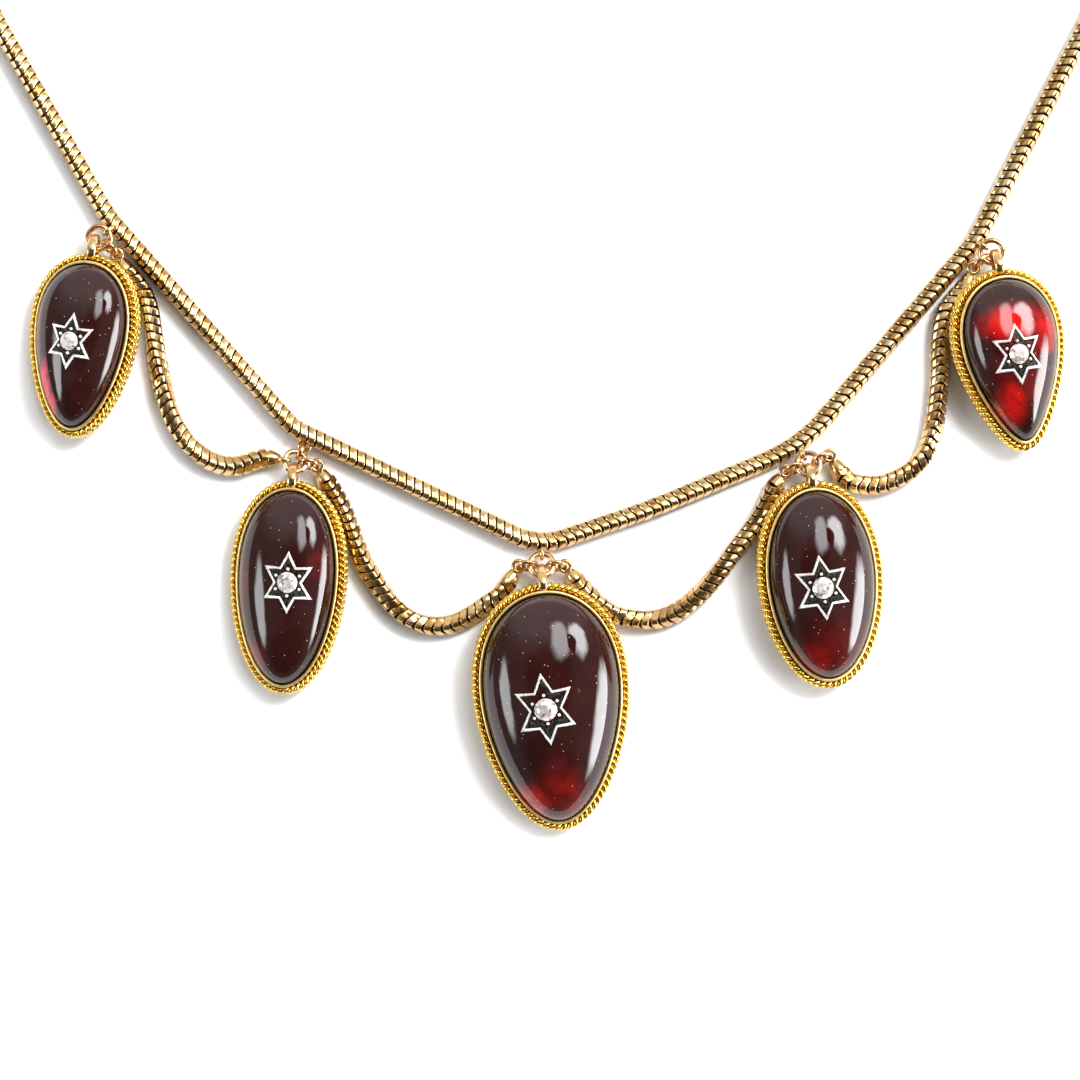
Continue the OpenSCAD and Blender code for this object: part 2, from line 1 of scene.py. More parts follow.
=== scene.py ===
import bisect
import math
import random
from collections import namedtuple

import bmesh
import bpy
from mathutils import Matrix, Vector


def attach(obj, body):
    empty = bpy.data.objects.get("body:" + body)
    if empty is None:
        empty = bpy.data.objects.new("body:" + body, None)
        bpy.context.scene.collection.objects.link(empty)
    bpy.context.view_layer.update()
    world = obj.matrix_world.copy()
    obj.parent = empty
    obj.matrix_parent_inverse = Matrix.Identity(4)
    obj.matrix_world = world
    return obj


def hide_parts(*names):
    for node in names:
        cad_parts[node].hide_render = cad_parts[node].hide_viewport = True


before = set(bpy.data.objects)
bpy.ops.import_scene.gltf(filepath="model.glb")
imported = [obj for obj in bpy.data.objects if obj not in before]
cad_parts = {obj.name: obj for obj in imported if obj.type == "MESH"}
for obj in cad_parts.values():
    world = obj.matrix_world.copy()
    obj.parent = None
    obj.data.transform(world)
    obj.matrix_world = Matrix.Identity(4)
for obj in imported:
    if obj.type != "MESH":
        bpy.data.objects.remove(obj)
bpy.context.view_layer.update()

bl_info = {
    "name": "Garnet Fringe Necklace",
    "version": (1, 0, 0),
    "blender": (4, 5, 0),
    "location": "View3D > Sidebar > Necklace",
    "description": "Snake chain necklace with swags and five garnet drops, each let in with a silver star",
    "category": "Add Mesh",
}

# Sizes and places are in millimetres; a finished mesh is scaled to metres.
MM = 0.001
FULL_TURN = 2 * math.pi

# The worn chain's route in the plane, as X, Y and the radius of the bend there
CHAIN_Z = 1.2
CLASP_L = 11
CLASP_W = 4.6
CLASP_T = 2.6
CLASP_Y = 87.6
CHAIN_END = 10.25
SIDES = [(-1, "left"), (1, "right")]
WORN_ROUTE = [
    (-CHAIN_END, CLASP_Y, 0), (-54.5, CLASP_Y, 55), (-73.0, 20.7, 40), (-52.0, -16.2, 15),
    (-29.7, -41.5, 6), (-0.2, -55.8, 8), (13.2, -51.3, 90), (31.4, -43.7, 20),
    (52.5, -18.9, 15), (72.8, 20.7, 40), (54.5, CLASP_Y, 55), (CHAIN_END, CLASP_Y, 0),
]
# Points that each swag passes between its two ends
SWAG_ROUTES = [
    [(-49.9, -22.4), (-48.7, -23.8), (-47.6, -25.4), (-46.9, -27.4), (-46.5, -29.8),
     (-46.2, -32.3), (-45.7, -34.9), (-45.1, -37.7), (-44.0, -40.8), (-42.1, -43.7),
     (-39.4, -45.6), (-36.6, -46.1), (-33.6, -45.2)],
    [(-26.0, -47.5), (-24.9, -49.2), (-23.8, -51.2), (-22.9, -53.4), (-22.1, -55.7),
     (-21.1, -57.9), (-19.7, -60.1), (-17.9, -62.6), (-15.8, -64.4), (-13.2, -65.3),
     (-10.6, -65.1), (-8.4, -64.1), (-6.4, -62.7), (-4.6, -61.3)],
    [(5.2, -60.9), (7.0, -62.6), (9.2, -64.0), (12.0, -64.6), (14.6, -64.4), (17.0, -63.3),
     (19.2, -61.5), (21.1, -59.4), (22.9, -57.1), (24.5, -55.0), (26.2, -52.6), (27.5, -50.2),
     (28.6, -48.1)],
    [(36.8, -47.7), (38.5, -48.3), (40.7, -48.4), (42.8, -47.7), (44.6, -46.6), (46.2, -44.8),
     (47.1, -42.5), (47.6, -40.1), (47.9, -37.5), (48.1, -34.8), (48.1, -32.2), (48.3, -29.6),
     (48.9, -27.4), (50.1, -25.8), (51.3, -24.3)],
]
# How far the links are rolled round the chain, in degrees: the worn chain's, and
# each swag's at even steps from its left end to its right end
WORN_ROLLS = [72, 72]
SWAG_ROLLS = [
    [180, 165, 100, 62, 40], [40, 36, 0, -38, 15], [40, -15, -65, -110, -63], [-30, -10, 55, 48, 75],
]

# Where the jump rings hang: middle, radius, height on the drop's side, the angles
# at which the swags' end links leave to the left and right, and how these lean
JunctionSpec = namedtuple("JunctionSpec", "x y radius high left right left_lean right_lean")
JUNCTIONS = [
    JunctionSpec(-52.85, -18.8, 1.37, 2.6, 0, -43, 0, -20),
    JunctionSpec(-29.4, -45.6, 1.28, 2.45, 170, -10, 0, -25),
    JunctionSpec(0.2, -58.0, 1.40, 2.7, 183, -3, 25, -25),
    JunctionSpec(32.2, -45.9, 1.38, 2.6, 197, 22, 25, -25),
    JunctionSpec(54.15, -20.45, 1.36, 2.6, 222, 0, 15, 0),
]
# The second junction's ring hangs from a link of its own.
HANGER = 1
# The swags' ends that have a link of their own: a swag's number, and a for its left end
SWAG_LINKS = ["1a", "2a", "3a", "4a", "2b", "3b", "4b"]
LINK_SIDES = 24
# Rounding of a link's edges as a share of its half width, and how much in degrees
# a link may roll and turn out of its place
LINK_ROUND = 0.6
LINK_ROLL = 3
LINK_TURN = 1.2
RING_WIRE = 0.66
LINK_WIRE = 0.52
LINK_R = 1.1
LINK_SHARE = 0.52
EYE_FROM_RING = 0.75
EYE_Z = 1.8
CLASP_LINK_Z = EYE_Z + 0.3
EYE_R = 0.65
EYE_TIP = 1.2
TIPS_APART = 0.8
CAP_L = 1.5
WORN_EYE_OUT = 1.6
HANGER_OUT = 1.3
HANGER_RING_Z = 1.65
HANGER_R = 0.88
HANGER_SHARE = 0.68
DIRECT_REACH = 0.5
DIRECT_EYE_OUT = 0.45

# The drops: middle of the collar's inner edge, turn, half its width and length,
# how far it widens to the top and how full its ends are, tilts, height of the
# dome, middle, turn and radius of the star, diamond's radius, and top of the bail
DropSpec = namedtuple("DropSpec", "x y turn half_w half_l egg full pitch roll dome "
                      "star_x star_y star_turn star_r diamond_r bail_x bail_y")
DROPS = [
    DropSpec(-54.45, -31.75, -7.4, 5.4, 9.85, 0.25, 0.04, 2.5, -12, 3.8,
             0.1, 0.4, -2, 3.4, 1.1, -53.3, -18.8),
    DropSpec(-29.9, -60.6, -3.5, 5.85, 11.65, 0.13, 0.04, 2.8, -9, 4.1,
             1.05, 0.9, 1, 3.7, 1.25, -29.52, -46.15),
    DropSpec(1.4, -74.8, 4.2, 8.05, 13.75, 0.2, 0.01, 5.4, 1.5, 5.4,
             -0.95, 0.65, 4.5, 4.35, 1.35, 0.2, -58.4),
    DropSpec(33.4, -60.25, 6.1, 6.4, 11.3, 0.1, 0.01, 3, 8, 4.4,
             -1.0, -0.05, 2, 3.95, 1.3, 32.3, -46.25),
    DropSpec(56.05, -33.4, 10.4, 5.5, 9.8, 0.38, -0.04, 4, 11, 3.9,
             -0.65, 0.75, -2, 3.7, 1.2, 54.45, -20.6),
]
# Painted red glow inside each garnet: place and reach as shares of the drop's half
# width and half length, and strength
GLOWS = [
    [(-0.6, -0.4, 0.17, 0.26, 1.0), (-0.5, -0.58, 0.17, 0.22, 1.0), (-0.36, -0.74, 0.17, 0.2, 0.9),
     (-0.95, 0.1, 0.3, 0.4, 0.25)],
    [(-0.6, -0.75, 0.45, 0.3, 0.2), (-0.95, -0.1, 0.4, 0.7, 0.12), (0.75, 0.3, 0.25, 0.25, 0.06)],
    [(0.0, -0.75, 0.55, 0.45, 0.14), (-0.4, -0.8, 0.4, 0.24, 0.5)],
    [(-0.4, -0.8, 0.6, 0.3, 0.2), (0.05, -0.7, 0.9, 0.6, 0.06)],
    [(-0.1, 0.46, 0.95, 0.3, 0.62), (-0.36, -0.52, 0.42, 0.42, 0.6), (0.6, 0.3, 0.42, 0.4, 0.45),
     (-0.1, -0.1, 0.8, 0.7, 0.12)],
]

# Settings: the wall's outline as distance out from the collar's inner edge and height
PLATE_T = 0.5
COLLAR_H = 2.8
STONE_GAP = 0.1
DOME_FOOT = COLLAR_H - 0.3
DOME_RINGS = 28
BACK_OUT = 0.7
WALL = [
    (0, PLATE_T), (0, 2.7), (0.05, 2.77), (0.17, COLLAR_H), (0.29, 2.77), (0.35, 2.68),
    (0.38, 2.3), (0.38, 0.62), (0.62, 0.55), (0.76, 0.4), (0.78, 0.2), (BACK_OUT, 0),
]
ROPE_OUT = 0.8
STRAND_OUT = 0.225
ROPE_HEIGHTS = [2.02, 1.08]
BAIL_RUN = 2.35
BAIL_HALF = 1.2
BAIL_DROP = 0.7
BAIL_THICK = 0.55
BAIL_WIDTH = 1.05
BAIL_GROOVE = 0.22
# Stars: angle from the upper arm and share of the radius, on one side
STAR_NOTCH = 0.45
STAR_SIDE = [(28, STAR_NOTCH + 0.1), (56, 0.93), (91, STAR_NOTCH), (125, 0.93), (155, STAR_NOTCH + 0.13)]
# How far a rim's corners move in for each unit of its width, at the tips and notches
TIP_MITRE = 2.4
NOTCH_MITRE = 1.1
GRAIN_R = 0.2
GRAIN_OUT = 0.34


def toward(degrees):
    """The unit vector in the plane at an angle."""
    return Vector((math.cos(math.radians(degrees)), math.sin(math.radians(degrees))))


def left_of(v):
    return Vector((-v.y, v.x))


def angle_of(v):
    return math.degrees(math.atan2(v.y, v.x))


def turned(degrees, axis):
    return Matrix.Rotation(math.radians(degrees), 4, axis)


def moved(x, y, z):
    return Matrix.Translation((x, y, z))


def corner(a, b, c, radius, steps):
    """Points of a round corner of a route at b."""
    u = (b - a).normalized()
    v = (c - b).normalized()
    turn = math.atan2(u.x * v.y - u.y * v.x, u.dot(v))
    start = b - u * radius * math.tan(abs(turn) / 2)
    side = math.copysign(radius, turn)
    middle = start + left_of(u) * side
    return [middle - side * left_of(toward(angle_of(u) + math.degrees(turn) * k / steps))
            for k in range(steps + 1)]


def worn_points(steps):
    places = [Vector(stop[:2]) for stop in WORN_ROUTE]
    points = [places[0]]
    for before, here, after, stop in zip(places, places[1:], places[2:], WORN_ROUTE[1:]):
        points += corner(before, here, after, stop[2], steps)
    return points + [places[-1]]


def smooth(points, steps=6):
    """A smooth route through its points."""
    ends = [2 * points[0] - points[1]] + points + [2 * points[-1] - points[-2]]
    route = []
    for a, b, c, d in zip(ends, ends[1:], ends[2:], ends[3:]):
        for k in range(steps):
            t = k / steps
            route.append((2 * b + (c - a) * t + (2 * a - 5 * b + 4 * c - d) * t * t
                          + (3 * b - a - 3 * c + d) * t * t * t) / 2)
    return route + [points[-1]]


class Rail:
    """Places and headings along a route, by the distance from its start."""

    def __init__(self, points):
        self.points = points
        self.stations = [0.0]
        for a, b in zip(points, points[1:]):
            self.stations.append(self.stations[-1] + (b - a).length)
        self.length = self.stations[-1]

    def place(self, s):
        s = min(max(s, 0), self.length)
        i = min(bisect.bisect_right(self.stations, s), len(self.points) - 1)
        share = (s - self.stations[i - 1]) / (self.stations[i] - self.stations[i - 1])
        return self.points[i - 1].lerp(self.points[i], share)

    def heading(self, s):
        return (self.place(s + 0.3) - self.place(s - 0.3)).normalized()


class Junction:
    """A jump ring's place, and how it and the links round it lie."""

    def __init__(self, index, foot):
        self.spec = JUNCTIONS[index]
        self.is_hanger = index == HANGER
        self.middle = Vector((self.spec.x, self.spec.y))
        self.foot = foot
        self.side = (foot - self.middle).normalized()
        out = 0 if self.is_hanger else (foot - self.middle).length - self.spec.radius
        self.rise = math.acos(out / WORN_EYE_OUT)
        chain_side_z = HANGER_RING_Z if self.is_hanger else CHAIN_Z + WORN_EYE_OUT * math.sin(self.rise)
        self.z = (chain_side_z + self.spec.high) / 2
        self.tilt = math.asin((chain_side_z - self.spec.high) / 2 / self.spec.radius)

    def ring_point(self, degrees):
        out = self.spec.radius * toward(degrees)
        return Vector((*(self.middle + out), self.z + out.dot(self.side) * math.sin(self.tilt)))

    def leave_angle(self, right):
        return self.spec.right if right else self.spec.left

    def eye_middle(self, right):
        reach = self.spec.radius + EYE_FROM_RING + EYE_R
        return self.middle + reach * toward(self.leave_angle(right))


def find_junctions():
    rail = Rail(worn_points(6))
    fine = [rail.place(0.4 * k) for k in range(int(rail.length / 0.4))]
    return [Junction(k, min(fine, key=lambda q: (q - Vector((spec.x, spec.y))).length))
            for k, spec in enumerate(JUNCTIONS)]


junctions = find_junctions()


def swag_end(swag, right_end):
    """The middle of the end face of a swag's cap."""
    k = swag + 1 if right_end else swag
    junction = junctions[k]
    if k == HANGER and right_end:
        reach = junction.spec.radius + DIRECT_REACH
        return junction.middle + reach * toward(junction.leave_angle(False))
    following = Vector(SWAG_ROUTES[swag][-1 if right_end else 0])
    eye = junction.eye_middle(not right_end)
    return eye + (EYE_TIP - EYE_R) * (following - eye).normalized()


def swag_rail(swag):
    middle = [Vector(point) for point in SWAG_ROUTES[swag]]
    return Rail(smooth([swag_end(swag, False)] + middle + [swag_end(swag, True)]))


def egg_outline(drop, steps=96):
    outline = []
    for k in range(steps):
        angle = FULL_TURN * k / steps
        c = math.cos(angle)
        width = drop.half_w * (1 + drop.egg * c + drop.full * c * c)
        outline.append(Vector((-width * math.sin(angle), drop.half_l * c)))
    return outline


def grown(outline, by):
    n = len(outline)
    return [point - by * left_of((outline[(k + 1) % n] - outline[k - 1]).normalized())
            for k, point in enumerate(outline)]


def tilted_z(drop, point):
    roll = math.radians(drop.roll)
    return point.y * math.sin(math.radians(drop.pitch)) * math.cos(roll) - point.x * math.sin(roll)


def lift(drop):
    """How far the drop's own origin is over the table."""
    return -min(tilted_z(drop, point) for point in grown(egg_outline(drop, 32), BACK_OUT))


def drop_frame(drop):
    tilts = turned(drop.roll, "Y") @ turned(drop.pitch, "X")
    return moved(drop.x, drop.y, lift(drop)) @ turned(drop.turn, "Z") @ tilts


def dome_z(drop, x, y):
    """Height of the garnet's dome over a place on the drop."""
    width = drop.half_w * (1 + drop.egg * y / drop.half_l)
    far = (x / width) ** 2 + (y / drop.half_l) ** 2
    return DOME_FOOT + drop.dome * math.sqrt(1 - min(far, 0.9))


def at_z(outline, z):
    return [Vector((point.x, point.y, z)) for point in outline]


def first_loop(bm, places):
    """A closed loop of vertices at the given places."""
    verts = bmesh.ops.create_circle(bm, segments=len(places), radius=1)["verts"]
    for vert, place in zip(verts, places):
        vert.co = place
    return verts


def extruded(bm, verts, places, material=0):
    """Extrudes a closed loop of vertices to the given places, and returns the new loop."""
    rim = [bm.edges.get(pair) for pair in zip(verts, verts[1:] + verts[:1])]
    made = bmesh.ops.extrude_edge_only(bm, edges=rim)["geom"]
    new = {item for item in made if isinstance(item, bmesh.types.BMVert)}
    for item in made:
        if isinstance(item, bmesh.types.BMFace):
            item.material_index = material
    loop = [next(e.other_vert(v) for e in v.link_edges if e.other_vert(v) in new) for v in verts]
    for vert, place in zip(loop, places):
        vert.co = place
    return loop


def closed(bm, verts, material=0):
    """Fills a loop of vertices with one face."""
    for face in bmesh.ops.contextual_create(bm, geom=verts)["faces"]:
        face.material_index = material


def lathe(bm, profile, matrix):
    """Spins a profile of (along, radius) pairs round the X axis, then places it."""
    before = set(bm.verts)
    verts = [bm.verts.new((along, 0, radius)) for along, radius in profile]
    edges = [bm.edges.new(pair) for pair in zip(verts, verts[1:])]
    bmesh.ops.spin(bm, geom=verts + edges, cent=(0, 0, 0), axis=(1, 0, 0), angle=FULL_TURN,
                   steps=24, use_merge=True)
    settle(bm, before, matrix)


def settle(bm, before, matrix, material=0):
    """Merges, turns outwards and places what was added since the set of vertices before."""
    new = [v for v in bm.verts if v not in before]
    bmesh.ops.remove_doubles(bm, verts=new, dist=0.0005)
    new = [v for v in bm.verts if v not in before]
    faces = list({f for v in new for f in v.link_faces})
    bmesh.ops.recalc_face_normals(bm, faces=faces)
    for face in faces:
        face.material_index = material
    bmesh.ops.transform(bm, matrix=matrix, verts=new)


def wire_ring(bm, radius, wire, matrix, steps=40, sides=14):
    """A round wire bent to a closed ring round Z, then placed."""
    before = set(bm.verts)
    stand = moved(radius, 0, 0) @ turned(90, "X")
    section = bmesh.ops.create_circle(bm, segments=sides, radius=wire / 2, matrix=stand)["verts"]
    edges = list({e for v in section for e in v.link_edges})
    bmesh.ops.spin(bm, geom=section + edges, cent=(0, 0, 0), axis=(0, 0, 1), angle=FULL_TURN,
                   steps=steps, use_merge=True)
    settle(bm, before, matrix)


def stamp(bm, mesh, matrix):
    """Adds a copy of a mesh at a place, and returns its faces."""
    start = len(bm.faces)
    first = len(bm.verts)
    bm.from_mesh(mesh)
    bm.verts.ensure_lookup_table()
    bm.faces.ensure_lookup_table()
    bmesh.ops.transform(bm, matrix=matrix, verts=bm.verts[first:])
    return bm.faces[start:]


def stood(bm, matrix):
    """Turns all faces outwards and places the whole mesh."""
    bmesh.ops.recalc_face_normals(bm, faces=bm.faces)
    bmesh.ops.transform(bm, matrix=matrix, verts=bm.verts)


def as_mesh(bm, name):
    mesh = bpy.data.meshes.new(name)
    bm.to_mesh(mesh)
    bm.free()
    return mesh


def add_object(name, data):
    made = bpy.data.objects.new(name, data)
    bpy.context.scene.collection.objects.link(made)
    return made


def finish_piece(name, bm, materials, replaced=(), sharp=40):
    """Makes a piece of the necklace from its mesh, which is still in millimetres."""
    bmesh.ops.scale(bm, vec=(MM, MM, MM), verts=bm.verts)
    mesh = as_mesh(bm, name)
    for material in materials:
        mesh.materials.append(material)
    mesh.shade_smooth()
    mesh.set_sharp_from_angle(angle=math.radians(sharp))
    piece = add_object(name, mesh)
    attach(piece, "root")
    if replaced:
        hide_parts(*replaced)


def linear(code):
    """An sRGB hex colour as linear red, green, blue and alpha."""
    shares = [int(code[k:k + 2], 16) / 255 for k in (1, 3, 5)]
    return [s / 12.92 if s <= 0.04045 else ((s + 0.055) / 1.055) ** 2.4 for s in shares] + [1]


def add_node(material, kind, inputs=(), **settings):
    """Adds a node, with its settings, and its inputs as values or as sockets to link from."""
    node = material.node_tree.nodes.new(kind)
    for key, value in settings.items():
        setattr(node, key, value)
    for key, value in dict(inputs).items():
        if isinstance(value, bpy.types.NodeSocket):
            material.node_tree.links.new(value, node.inputs[key])
        else:
            node.inputs[key].default_value = value
    return node


def new_material(name):
    material = bpy.data.materials.get(name) or bpy.data.materials.new(name)
    material.use_nodes = True
    material.node_tree.nodes.clear()
    return material


def surfaced(material, inputs):
    """Ends a material in one Principled surface."""
    surface = add_node(material, "ShaderNodeBsdfPrincipled", inputs)
    add_node(material, "ShaderNodeOutputMaterial", {"Surface": surface.outputs[0]})
    return material


def grain_of(size_mm):
    """Noise scale whose grains are this wide."""
    return 1 / (size_mm * MM)


def object_place(material):
    return add_node(material, "ShaderNodeTexCoord").outputs["Object"]


def noise(material, place, size_mm, **inputs):
    """Cloudy noise whose grains are this wide."""
    return add_node(material, "ShaderNodeTexNoise",
                    {"Vector": place, "Scale": grain_of(size_mm), **inputs}).outputs["Fac"]


def cells(material, place, size_mm, output):
    """Cells of this width: their colours, or the distance from their middles."""
    return add_node(material, "ShaderNodeTexVoronoi",
                    {"Vector": place, "Scale": grain_of(size_mm)}).outputs[output]


def remapped(material, value, low, high, to_low=0, to_high=1):
    return add_node(material, "ShaderNodeMapRange", {
        "Value": value, "From Min": low, "From Max": high, "To Min": to_low, "To Max": to_high}).outputs[0]


def mixed(material, share, a, b):
    """Two colours, mixed by the share of the second."""
    return add_node(material, "ShaderNodeMix", {"Factor": share, "A": a, "B": b},
                    data_type="RGBA").outputs[2]


def calculated(owner, operation, a, b, use_clamp=False):
    return add_node(owner, "ShaderNodeMath", {0: a, 1: b}, operation=operation,
                    use_clamp=use_clamp).outputs[0]


def bumped(material, height, strength, depth_mm):
    return add_node(material, "ShaderNodeBump", {
        "Height": height, "Strength": strength, "Distance": depth_mm * MM}).outputs[0]


def soft_spots(owner, vector, spots, even, operation):
    """Joins spots of light, each even over a share of its reach and gone at its reach."""
    joined = None
    for place, reach, strength in spots:
        near = add_node(owner, "ShaderNodeMapping", {
            "Vector": vector, "Location": place, "Scale": reach}, vector_type="TEXTURE").outputs[0]
        far = add_node(owner, "ShaderNodeVectorMath", {0: near}, operation="LENGTH").outputs["Value"]
        lit = add_node(owner, "ShaderNodeMapRange", {
            "Value": far, "From Min": even, "From Max": 1, "To Min": strength, "To Max": 0},
            interpolation_type="SMOOTHSTEP").outputs[0]
        joined = lit if joined is None else calculated(owner, operation, joined, lit)
    return joined


def gold(name, pale, deep, roughness, patch_mm, scuff_mm):
    """A polished gold alloy: patches of deeper tone, and fine scuffs that break up its gloss."""
    material = new_material(name)
    place = object_place(material)
    tone = add_node(material, "ShaderNodeAttribute", attribute_name="tone").outputs["Fac"]
    patches = noise(material, place, patch_mm, Detail=3)
    share = remapped(material, calculated(material, "ADD", patches, tone), 0.4, 0.9)
    scuffs = noise(material, place, scuff_mm, Detail=4)
    return surfaced(material, {
        "Base Color": mixed(material, share, linear(pale), linear(deep)), "Metallic": 1,
        "Roughness": remapped(material, scuffs, 0.35, 0.75, roughness * 0.85, roughness * 1.25),
        "Normal": bumped(material, scuffs, 0.02, 0.03)})


def champagne_gold():
    """Pale old gold of the chain, rolled and worn smooth: broad soft highlights, brown in the turns."""
    return gold("champagne_gold", "#e0bf87", "#af7d42", 0.22, 1.3, 0.12)


def yellow_gold():
    """High-carat yellow gold of the settings: rich and glossy, deep amber where strands meet."""
    return gold("yellow_gold", "#ecc867", "#b6862b", 0.17, 0.9, 0.1)


def rubbed_gold_painted_highlight():
    """The same gold on the collars' top edge, rubbed dull and painted paler as a highlight: an even pale
    line round each stone.
    """
    return gold("rubbed_gold_painted_highlight", "#f6e0a0", "#d9b25c", 0.45, 0.9, 0.1)


def rosy_gold():
    """Slightly coppery gold wire of the rings and links: bright lines on a warm brown wire."""
    return gold("rosy_gold", "#e3b98a", "#a06f3c", 0.18, 1.6, 0.15)


def tarnish_and_painted_gap_shade():
    """Unpolished, blackened gold down between the links, partly real tarnish and partly painted shade of the
    narrow gaps: dull and nearly black to the eye.
    """
    material = new_material("tarnish_and_painted_gap_shade")
    return surfaced(material, {"Base Color": linear("#2a180a"), "Metallic": 0.6, "Roughness": 0.7})


def bright_silver():
    """Cut and polished silver rims and grains: near-white glints with a hint of grey wear."""
    material = new_material("bright_silver")
    wear = remapped(material, noise(material, object_place(material), 0.35, Detail=3), 0.45, 0.7)
    return surfaced(material, {
        "Base Color": mixed(material, wear, linear("#f6f3ee"), linear("#a8a39a")),
        "Metallic": 0.35, "Roughness": 0.38})


def oxidised_silver():
    """Silver blackened with age inside the stars: matt charcoal with a punched, stippled floor."""
    material = new_material("oxidised_silver")
    punched = cells(material, object_place(material), 0.28, "Distance")
    share = remapped(material, punched, 0.25, 0.7)
    return surfaced(material, {
        "Base Color": mixed(material, share, linear("#0b0a09"), linear("#4a463e")),
        "Metallic": 0.8, "Roughness": 0.5, "Normal": bumped(material, punched, 0.6, 0.08)})


def garnet(index, dark, red):
    """Polished garnet, cut as a tall cabochon: nearly black wine with a painted red glow low in the
    stone, in its colour and as emission, fine pale inclusions and mirror-sharp reflections."""
    drop = DROPS[index]
    material = new_material(f"polished_garnet_{index + 1}")
    place = object_place(material)
    tilt = [math.radians(angle) for angle in (drop.pitch, drop.roll, drop.turn)]
    local = add_node(material, "ShaderNodeMapping", {
        "Vector": place, "Location": [drop.x * MM, drop.y * MM, lift(drop) * MM], "Rotation": tilt,
        "Scale": [drop.half_w * MM, drop.half_l * MM, 1]}, vector_type="TEXTURE").outputs[0]
    veils = noise(material, place, 2.6, Detail=5, Roughness=0.6, Distortion=0.6)
    # The spots reach through the whole depth of the stone.
    spots = [((x, y, 0), (wide, long, 1000), strength) for x, y, wide, long, strength in GLOWS[index]]
    # Painted glow: red spots mixed into the base colour and given as emission.
    glow = soft_spots(material, local, spots, 0.2, "MAXIMUM")
    broken = remapped(material, veils, 0.36, 0.56, 0.4, 1.1)
    glow = calculated(material, "MULTIPLY", glow, broken, True)
    body = mixed(material, veils, linear("#120604"), linear(dark))
    body = mixed(material, glow, body, linear(red))
    speck = remapped(material, cells(material, place, 0.8, "Distance"), 0.09, 0.04)
    return surfaced(material, {
        "Base Color": mixed(material, speck, body, linear("#cbb2ac")),
        "Roughness": 0.025, "IOR": 1.77, "Specular IOR Level": 0.27, "Emission Color": linear(red),
        "Emission Strength": calculated(material, "MULTIPLY", glow, 0.12)})


def old_cut_diamond():
    """Old-cut diamond: clear, with white, grey and brownish facet flashes painted into its colour in random
    cells.
    """
    material = new_material("old_cut_diamond")
    # Painted reflections: random cells of white, grey and brown stand in for the facets' flashes.
    flashes = cells(material, object_place(material), 0.42, "Color")
    share = add_node(material, "ShaderNodeSeparateColor", {0: flashes}).outputs[0]
    share = remapped(material, share, 0.3, 1.1)
    return surfaced(material, {
        "Base Color": mixed(material, share, linear("#dfd8d1"), linear("#6a554c")),
        "Metallic": 0.25, "Roughness": 0.06, "IOR": 2.42})


def white_paper():
    """Matt white paper sweep: even and bright, with a barely visible tooth."""
    material = new_material("white_paper")
    tooth = noise(material, object_place(material), 0.4, Detail=2)
    return surfaced(material, {"Base Color": linear("#f4f4f4"), "Roughness": 0.9,
                               "Specular IOR Level": 0.2, "Normal": bumped(material, tooth, 0.05, 0.02)})


def length_mm(name, about, default, low, high):
    """A length as a property, given in millimetres."""
    return bpy.props.FloatProperty(name=name, description=about, default=default * MM, min=low * MM,
                                   max=high * MM, unit="LENGTH")


def colour_code(name, about, default):
    """An sRGB hex code as a property."""
    return bpy.props.StringProperty(name=name, description=about, default=default)


class NecklaceChain(bpy.types.PropertyGroup):
    """Sizes of the snake chain's links."""
    width: length_mm("Width", "Width of the chain across its flat sides", 2.1, 1.5, 3)
    pitch: length_mm("Pitch", "Length of chain that one link takes up", 1.09, 0.8, 2)
    gap: length_mm("Gap", "Space between the rims of two links", 0.16, 0.1, 0.3)
    wave: length_mm("Wave", "How far a link's rim runs forwards and back round the chain", 0.28, 0.05, 0.4)
    notch: length_mm("Notch", "How far each rim is cut back where it crosses a ridge", 0.08, 0, 0.2)


class NecklaceSettings(bpy.types.PropertyGroup):
    """Sizes of the rope borders and stars."""
    strand: length_mm("Strand", "Thickness of one of the two strands of a rope", 0.46, 0.3, 0.6)
    twist: length_mm("Twist", "Length of rope in which a strand goes once round", 1.56, 1, 3)
    rim: length_mm("Rim", "Width of the bright rim round a star", 0.27, 0.2, 0.5)


class NecklaceStones(bpy.types.PropertyGroup):
    """Colours of the garnets, as sRGB hex codes."""
    dark: colour_code("Dark", "Body colour of the garnets", "#34120f")
    # The red and crimson colours are those of the painted glow in the garnets.
    red: colour_code("Red", "Colour of the light inside the garnets", "#d41410")
    crimson: colour_code("Crimson", "Colour of the light inside the first garnet", "#d4143c")


class NecklaceStage(bpy.types.PropertyGroup):
    """Camera and light."""
    camera_height: length_mm("Camera height", "Height of the camera over the table", 362.1, 100, 2000)
    key: bpy.props.FloatProperty(
        name="Key light", description="Power of the main light", default=5, min=0, max=100, unit="POWER")


def square_radius(angle, width):
    """Distance from the middle of a rounded square to its side, at an angle in degrees."""
    half = width / 2
    round_r = LINK_ROUND * half
    inner = half - round_r
    b = math.radians(abs((angle + 45) % 90 - 45))
    if b < math.atan2(inner, half):
        return half / math.cos(b)
    m = inner * (math.cos(b) + math.sin(b))
    return m + math.sqrt(m * m - 2 * inner * inner + round_r * round_r)


